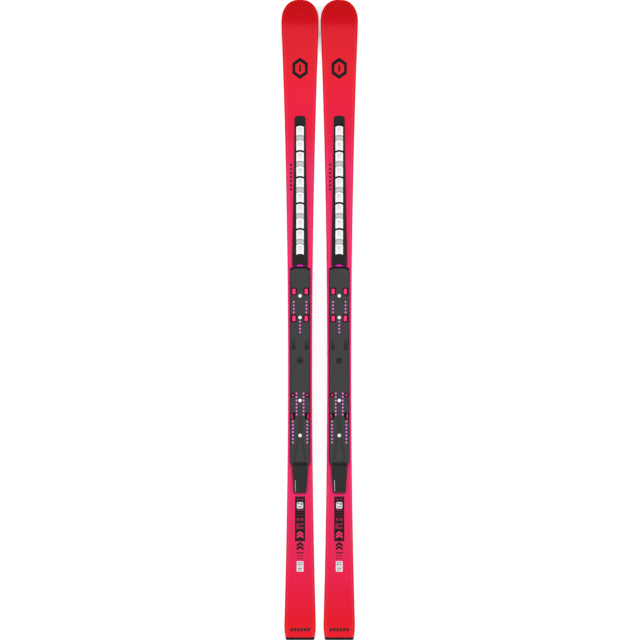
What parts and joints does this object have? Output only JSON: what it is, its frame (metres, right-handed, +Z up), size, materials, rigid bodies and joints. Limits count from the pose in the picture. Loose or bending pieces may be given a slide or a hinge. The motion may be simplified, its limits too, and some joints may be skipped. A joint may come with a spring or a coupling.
{
  "type": "pair of alpine skis with binding plates",
  "caption": "Pair of long narrow race skis with upturned tips, sprung metal damper sections on the forebody and a drilled plate underfoot for a binding.",
  "frame": {"origin": "on the floor, midway between the two skis and midway along them", "axes": "+Y towards the tips, +Z up out of the top sheets, +X across towards the right ski"},
  "size_m": [0.219, 1.83, 0.0562],
  "materials": {
    "running_base": "structured sintered polyethylene, waxed",
    "steel_edge": "ground",
    "metal_sheet": "mill finish",
    "wood_core": "laminated stringers",
    "tip_filler": "moulded, sanded flush",
    "sidewall": "planed and polished",
    "topsheet": "printed under a clear skin, red to pink",
    "tail_protector": "moulded",
    "damper_bed": "moulded",
    "damper_metal": "bead blasted, silver anodised",
    "underlay": "moulded, fine texture",
    "plate_moulding": "glass filled, fine texture",
    "magenta_elastomer": "moulded",
    "violet_insert": "moulded",
    "pink_elastomer": "moulded",
    "black_sleeve": "moulded",
    "screw_steel": "zinc plated",
    "black_screw": "black oxide",
    "white_cap": "moulded"
  },
  "bodies": {
    "left_ski": {"left_ski_base": "running_base", "left_ski_left_edge": "steel_edge", "left_ski_right_edge": "steel_edge", "left_ski_lower_titanal": "metal_sheet", "left_ski_core": "wood_core", "left_ski_tip_spacer": "tip_filler", "left_ski_left_sidewall": "sidewall", "left_ski_right_sidewall": "sidewall", "left_ski_upper_titanal": "metal_sheet", "left_ski_topsheet": "topsheet", "left_ski_tail_protector": "tail_protector", "left_ski_damper_bed": "damper_bed", "left_ski_underlay": "underlay", "left_ski_interface_plate": "plate_moulding", "left_ski_nose_bumper": "magenta_elastomer", "left_ski_toe_inserts": "violet_insert", "left_ski_centre_insert": "violet_insert", "left_ski_heel_inner_inserts": "violet_insert", "left_ski_heel_outer_inserts": "violet_insert", "left_ski_damper_blocks": "pink_elastomer", "left_ski_heel_bushings": "black_sleeve", "left_ski_plate_screws": "screw_steel", "left_ski_centre_screw": "black_screw", "left_ski_screw_caps": "white_cap"},
    "left_ski_section_1": {"left_ski_damper_section_1": "damper_metal"},
    "left_ski_section_2": {"left_ski_damper_section_2": "damper_metal"},
    "left_ski_section_3": {"left_ski_damper_section_3": "damper_metal"},
    "left_ski_section_4": {"left_ski_damper_section_4": "damper_metal"},
    "left_ski_section_5": {"left_ski_damper_section_5": "damper_metal"},
    "right_ski": {"right_ski_base": "running_base", "right_ski_left_edge": "steel_edge", "right_ski_right_edge": "steel_edge", "right_ski_lower_titanal": "metal_sheet", "right_ski_core": "wood_core", "right_ski_tip_spacer": "tip_filler", "right_ski_left_sidewall": "sidewall", "right_ski_right_sidewall": "sidewall", "right_ski_upper_titanal": "metal_sheet", "right_ski_topsheet": "topsheet", "right_ski_tail_protector": "tail_protector", "right_ski_damper_bed": "damper_bed", "right_ski_underlay": "underlay", "right_ski_interface_plate": "plate_moulding", "right_ski_nose_bumper": "magenta_elastomer", "right_ski_toe_inserts": "violet_insert", "right_ski_centre_insert": "violet_insert", "right_ski_heel_inner_inserts": "violet_insert", "right_ski_heel_outer_inserts": "violet_insert", "right_ski_damper_blocks": "pink_elastomer", "right_ski_heel_bushings": "black_sleeve", "right_ski_plate_screws": "screw_steel", "right_ski_centre_screw": "black_screw", "right_ski_screw_caps": "white_cap"},
    "right_ski_section_1": {"right_ski_damper_section_1": "damper_metal"},
    "right_ski_section_2": {"right_ski_damper_section_2": "damper_metal"},
    "right_ski_section_3": {"right_ski_damper_section_3": "damper_metal"},
    "right_ski_section_4": {"right_ski_damper_section_4": "damper_metal"},
    "right_ski_section_5": {"right_ski_damper_section_5": "damper_metal"}
  },
  "joints": [
    {"name": "pair_spread", "type": "slide", "parent": "left_ski", "child": "right_ski", "axis": [1, 0, 0], "range_m": [0, 0.2]},
    {"name": "left_ski_section_1_creep", "type": "slide", "parent": "left_ski", "child": "left_ski_section_1", "axis": [0, 0.9998, -0.0202], "range_m": [-0.0005, 0.0005], "stiffness_N_per_m": 4000},
    {"name": "left_ski_section_2_creep", "type": "slide", "parent": "left_ski", "child": "left_ski_section_2", "axis": [0, 0.9998, -0.0222], "range_m": [-0.0005, 0.0005], "stiffness_N_per_m": 4000},
    {"name": "left_ski_section_3_creep", "type": "slide", "parent": "left_ski", "child": "left_ski_section_3", "axis": [0, 0.9997, -0.0234], "range_m": [-0.0005, 0.0005], "stiffness_N_per_m": 4000},
    {"name": "left_ski_section_4_creep", "type": "slide", "parent": "left_ski", "child": "left_ski_section_4", "axis": [0, 0.9997, -0.0241], "range_m": [-0.0005, 0.0005], "stiffness_N_per_m": 4000},
    {"name": "left_ski_section_5_creep", "type": "slide", "parent": "left_ski", "child": "left_ski_section_5", "axis": [0, 0.9997, -0.0243], "range_m": [-0.0005, 0.0005], "stiffness_N_per_m": 4000},
    {"name": "right_ski_section_1_creep", "type": "slide", "parent": "right_ski", "child": "right_ski_section_1", "axis": [0, 0.9998, -0.0202], "range_m": [-0.0005, 0.0005], "stiffness_N_per_m": 4000},
    {"name": "right_ski_section_2_creep", "type": "slide", "parent": "right_ski", "child": "right_ski_section_2", "axis": [0, 0.9998, -0.0222], "range_m": [-0.0005, 0.0005], "stiffness_N_per_m": 4000},
    {"name": "right_ski_section_3_creep", "type": "slide", "parent": "right_ski", "child": "right_ski_section_3", "axis": [0, 0.9997, -0.0234], "range_m": [-0.0005, 0.0005], "stiffness_N_per_m": 4000},
    {"name": "right_ski_section_4_creep", "type": "slide", "parent": "right_ski", "child": "right_ski_section_4", "axis": [0, 0.9997, -0.0241], "range_m": [-0.0005, 0.0005], "stiffness_N_per_m": 4000},
    {"name": "right_ski_section_5_creep", "type": "slide", "parent": "right_ski", "child": "right_ski_section_5", "axis": [0, 0.9997, -0.0243], "range_m": [-0.0005, 0.0005], "stiffness_N_per_m": 4000}
  ]
}
